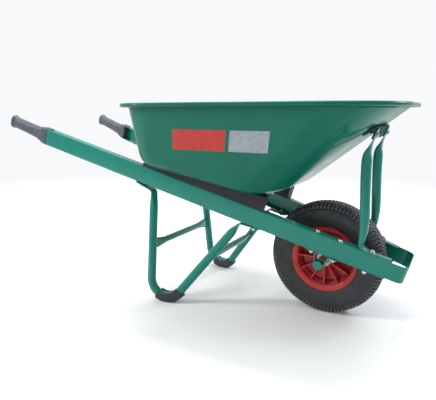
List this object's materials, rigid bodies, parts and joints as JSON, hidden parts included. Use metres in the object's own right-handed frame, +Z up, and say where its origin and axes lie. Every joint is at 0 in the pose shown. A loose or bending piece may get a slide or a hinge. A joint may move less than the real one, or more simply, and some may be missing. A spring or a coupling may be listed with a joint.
{
  "type": "wheelbarrow",
  "caption": "Wheelbarrow with a pressed steel tray on a bent channel chassis, tube legs with plastic shoes, plastic hand grips and one air-filled wheel on ball bearings.",
  "frame": {"origin": "on the ground under the middle of the barrow's overall length and width", "axes": "+X forwards towards the wheel, +Y to the user's left, +Z up"},
  "size_m": [1.5668, 0.68, 0.734],
  "materials": {
    "frame_paint": "semi-gloss green paint over steel",
    "tray_paint": "gloss green paint over pressed sheet steel",
    "bracket_paint": "dark green paint over steel",
    "grip": "moulded dark grey plastic with a fine grain",
    "wedge": "moulded black plastic",
    "shoe": "worn dark grey plastic sleeve",
    "tyre": "matte black rubber",
    "tube_rubber": "smooth black rubber",
    "valve_rubber": "smooth black rubber",
    "cap_plastic": "moulded black plastic",
    "rim": "glossy red moulded plastic",
    "bearing_steel": "ground steel",
    "ball_steel": "polished steel",
    "zinc": "zinc-plated steel"
  },
  "bodies": {
    "frame": {"axle": "frame_paint", "axle_cap_left": "frame_paint", "axle_cap_right": "frame_paint", "axle_saddle_left": "frame_paint", "axle_saddle_right": "frame_paint", "axle_spacer_left": "zinc", "axle_spacer_right": "zinc", "bearing_inner_left": "bearing_steel", "bearing_inner_right": "bearing_steel", "bearing_spacer": "bearing_steel", "bracket_bolt_left": "zinc", "bracket_bolt_right": "zinc", "chassis_channel": "frame_paint", "grip_left": "grip", "grip_right": "grip", "leg_bolt_left_front": "zinc", "leg_bolt_left_rear": "zinc", "leg_bolt_right_front": "zinc", "leg_bolt_right_rear": "zinc", "leg_brace_front": "frame_paint", "leg_brace_rear": "frame_paint", "leg_left": "frame_paint", "leg_right": "frame_paint", "leg_shoe_left": "shoe", "leg_shoe_right": "shoe", "saddle_bolt_left_front": "zinc", "saddle_bolt_left_rear": "zinc", "saddle_bolt_right_front": "zinc", "saddle_bolt_right_rear": "zinc", "saddle_nut_left_front": "zinc", "saddle_nut_left_rear": "zinc", "saddle_nut_right_front": "zinc", "saddle_nut_right_rear": "zinc", "stay_foot_bolt_left": "zinc", "stay_foot_bolt_right": "zinc", "stay_foot_nut_left": "zinc", "stay_foot_nut_right": "zinc", "stay_left": "frame_paint", "stay_right": "frame_paint", "stay_top_bolt_left": "zinc", "stay_top_bolt_right": "zinc", "tray": "tray_paint", "tray_bolt_left_front": "zinc", "tray_bolt_left_rear": "zinc", "tray_bolt_right_front": "zinc", "tray_bolt_right_rear": "zinc", "tray_front_bracket": "bracket_paint", "wedge_left": "wedge", "wedge_right": "wedge"},
    "wheel": {"tyre": "tyre", "inner_tube": "tube_rubber", "wheel_rim": "rim", "bearing_outer_left": "bearing_steel", "bearing_outer_right": "bearing_steel", "bearing_balls_left": "ball_steel", "bearing_balls_right": "ball_steel", "valve_stem": "valve_rubber", "valve_cap": "cap_plastic"}
  },
  "joints": [
    {"name": "wheel_spin", "type": "hinge", "parent": "frame", "child": "wheel", "pos_m": [0.5042, 0, 0.2], "axis": [0, 1, 0], "continuous": true}
  ]
}
